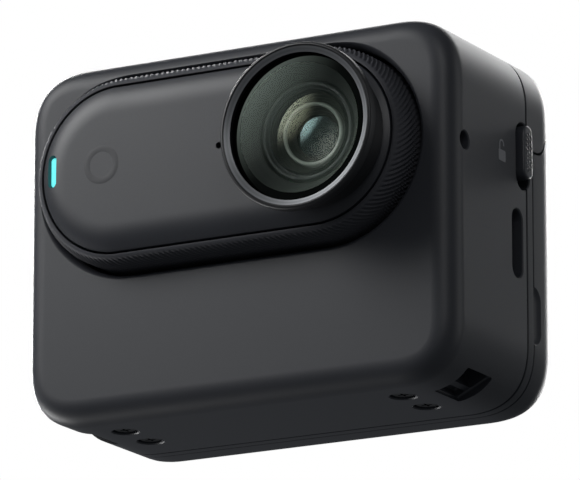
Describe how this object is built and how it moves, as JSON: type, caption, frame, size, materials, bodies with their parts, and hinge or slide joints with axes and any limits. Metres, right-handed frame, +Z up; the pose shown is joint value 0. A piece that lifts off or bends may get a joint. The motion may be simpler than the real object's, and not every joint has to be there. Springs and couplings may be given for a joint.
{
  "type": "action camera",
  "caption": "Small stadium-shaped camera module that slides out of a rounded pod with a flip-up rear screen, a side release slider and a twist-off lens guard.",
  "frame": {"origin": "on the flat base, midway between the pod's two sides and midway between its front and rear faces", "axes": "+X across the width towards the side with the release slider and the USB-C port, +Z up, and the lens faces -Y"},
  "size_m": [0.0647, 0.0405, 0.0482],
  "materials": {
    "charcoal_shell": "fine matte moulded charcoal plastic",
    "charcoal_key": "fine matte moulded charcoal plastic",
    "face_plastic": "soft-touch satin charcoal",
    "ribbed_plastic": "fine ribbed matte plastic",
    "black_plastic": "matte black",
    "anodised_ring": "satin black anodised",
    "guard_glass": "coated optical glass",
    "lens_glass": "coated optical glass",
    "screen_glass": "black-backed glossy cover glass",
    "display": "dark glossy",
    "light_pipe": "translucent, lit cyan",
    "steel": "satin steel",
    "contacts": "gold-plated",
    "circuit_board": "solder-masked circuit board",
    "battery_wrap": "foil-wrapped cell"
  },
  "bodies": {
    "pod": {"pod_front_shell": "charcoal_shell", "pod_mid_frame": "charcoal_shell", "camera_cradle": "black_plastic", "pogo_pin_block": "black_plastic", "pod_speaker": "black_plastic", "cradle_magnet_left": "steel", "cradle_magnet_right": "steel", "usb_c_receptacle": "steel", "pod_microphone": "steel", "shutter_switch": "steel", "power_switch": "steel", "quick_menu_switch": "steel", "mount_plate_left": "steel", "mount_plate_right": "steel", "base_screw_1": "steel", "base_screw_2": "steel", "base_screw_3": "steel", "base_screw_4": "steel", "hinge_pin_left": "steel", "hinge_pin_right": "steel", "release_spring": "steel", "pod_main_board": "circuit_board", "pod_battery": "battery_wrap"},
    "screen": {"screen_housing": "charcoal_shell", "screen_hinge_arm": "charcoal_shell", "screen_cover_glass": "screen_glass", "display_panel": "display", "screen_board": "circuit_board"},
    "shutter_key": {"shutter_button": "charcoal_key"},
    "power_key": {"power_button": "charcoal_key"},
    "quick_menu_key": {"quick_menu_button": "charcoal_key"},
    "release_key": {"release_slider": "charcoal_key"},
    "latch": {"release_latch": "steel"},
    "camera": {"camera_front_cover": "face_plastic", "camera_body_shell": "ribbed_plastic", "camera_back_cover": "black_plastic", "lens_mount_collar": "black_plastic", "lens_barrel": "black_plastic", "aperture_ring": "black_plastic", "status_light_pipe": "light_pipe", "camera_contact_plate": "contacts", "camera_battery": "battery_wrap", "camera_main_board": "circuit_board", "sensor_board": "circuit_board", "camera_back_magnet": "steel", "camera_button_switch": "steel", "camera_microphone": "steel", "front_lens_element": "lens_glass", "second_lens_element": "lens_glass", "third_lens_element": "lens_glass", "image_sensor": "display"},
    "lens_guard": {"lens_guard_ring": "anodised_ring", "lens_guard_glass": "guard_glass"}
  },
  "joints": [
    {"name": "camera_slide", "type": "slide", "parent": "pod", "child": "camera", "axis": [0, -1, 0], "range_m": [0, 0.03]},
    {"name": "lens_guard_twist", "type": "hinge", "parent": "camera", "child": "lens_guard", "pos_m": [0.015, -0.0192, 0.0323], "axis": [0, -1, 0], "range_deg": [0, 30]},
    {"name": "screen_flip", "type": "hinge", "parent": "pod", "child": "screen", "pos_m": [0, 0.0102, 0.04365], "axis": [1, 0, 0], "range_deg": [0, 180]},
    {"name": "shutter_press", "type": "slide", "parent": "pod", "child": "shutter_key", "axis": [0, 0, -1], "range_m": [0, 0.0005], "stiffness_N_per_m": 500},
    {"name": "power_press", "type": "slide", "parent": "pod", "child": "power_key", "axis": [1, 0, 0], "range_m": [0, 0.0004], "stiffness_N_per_m": 500},
    {"name": "quick_menu_press", "type": "slide", "parent": "pod", "child": "quick_menu_key", "axis": [1, 0, 0], "range_m": [0, 0.0004], "stiffness_N_per_m": 500},
    {"name": "release_slide", "type": "slide", "parent": "pod", "child": "release_key", "axis": [0, 0, -1], "range_m": [0, 0.0011], "stiffness_N_per_m": 400, "deforming": ["release_spring"]},
    {"name": "latch_slide", "type": "slide", "parent": "pod", "child": "latch", "axis": [1, 0, 0], "range_m": [0, 0.0008]}
  ],
  "couplings": [
    {"joint": "latch_slide", "follows": "release_slide", "ratio": 0.7}
  ]
}
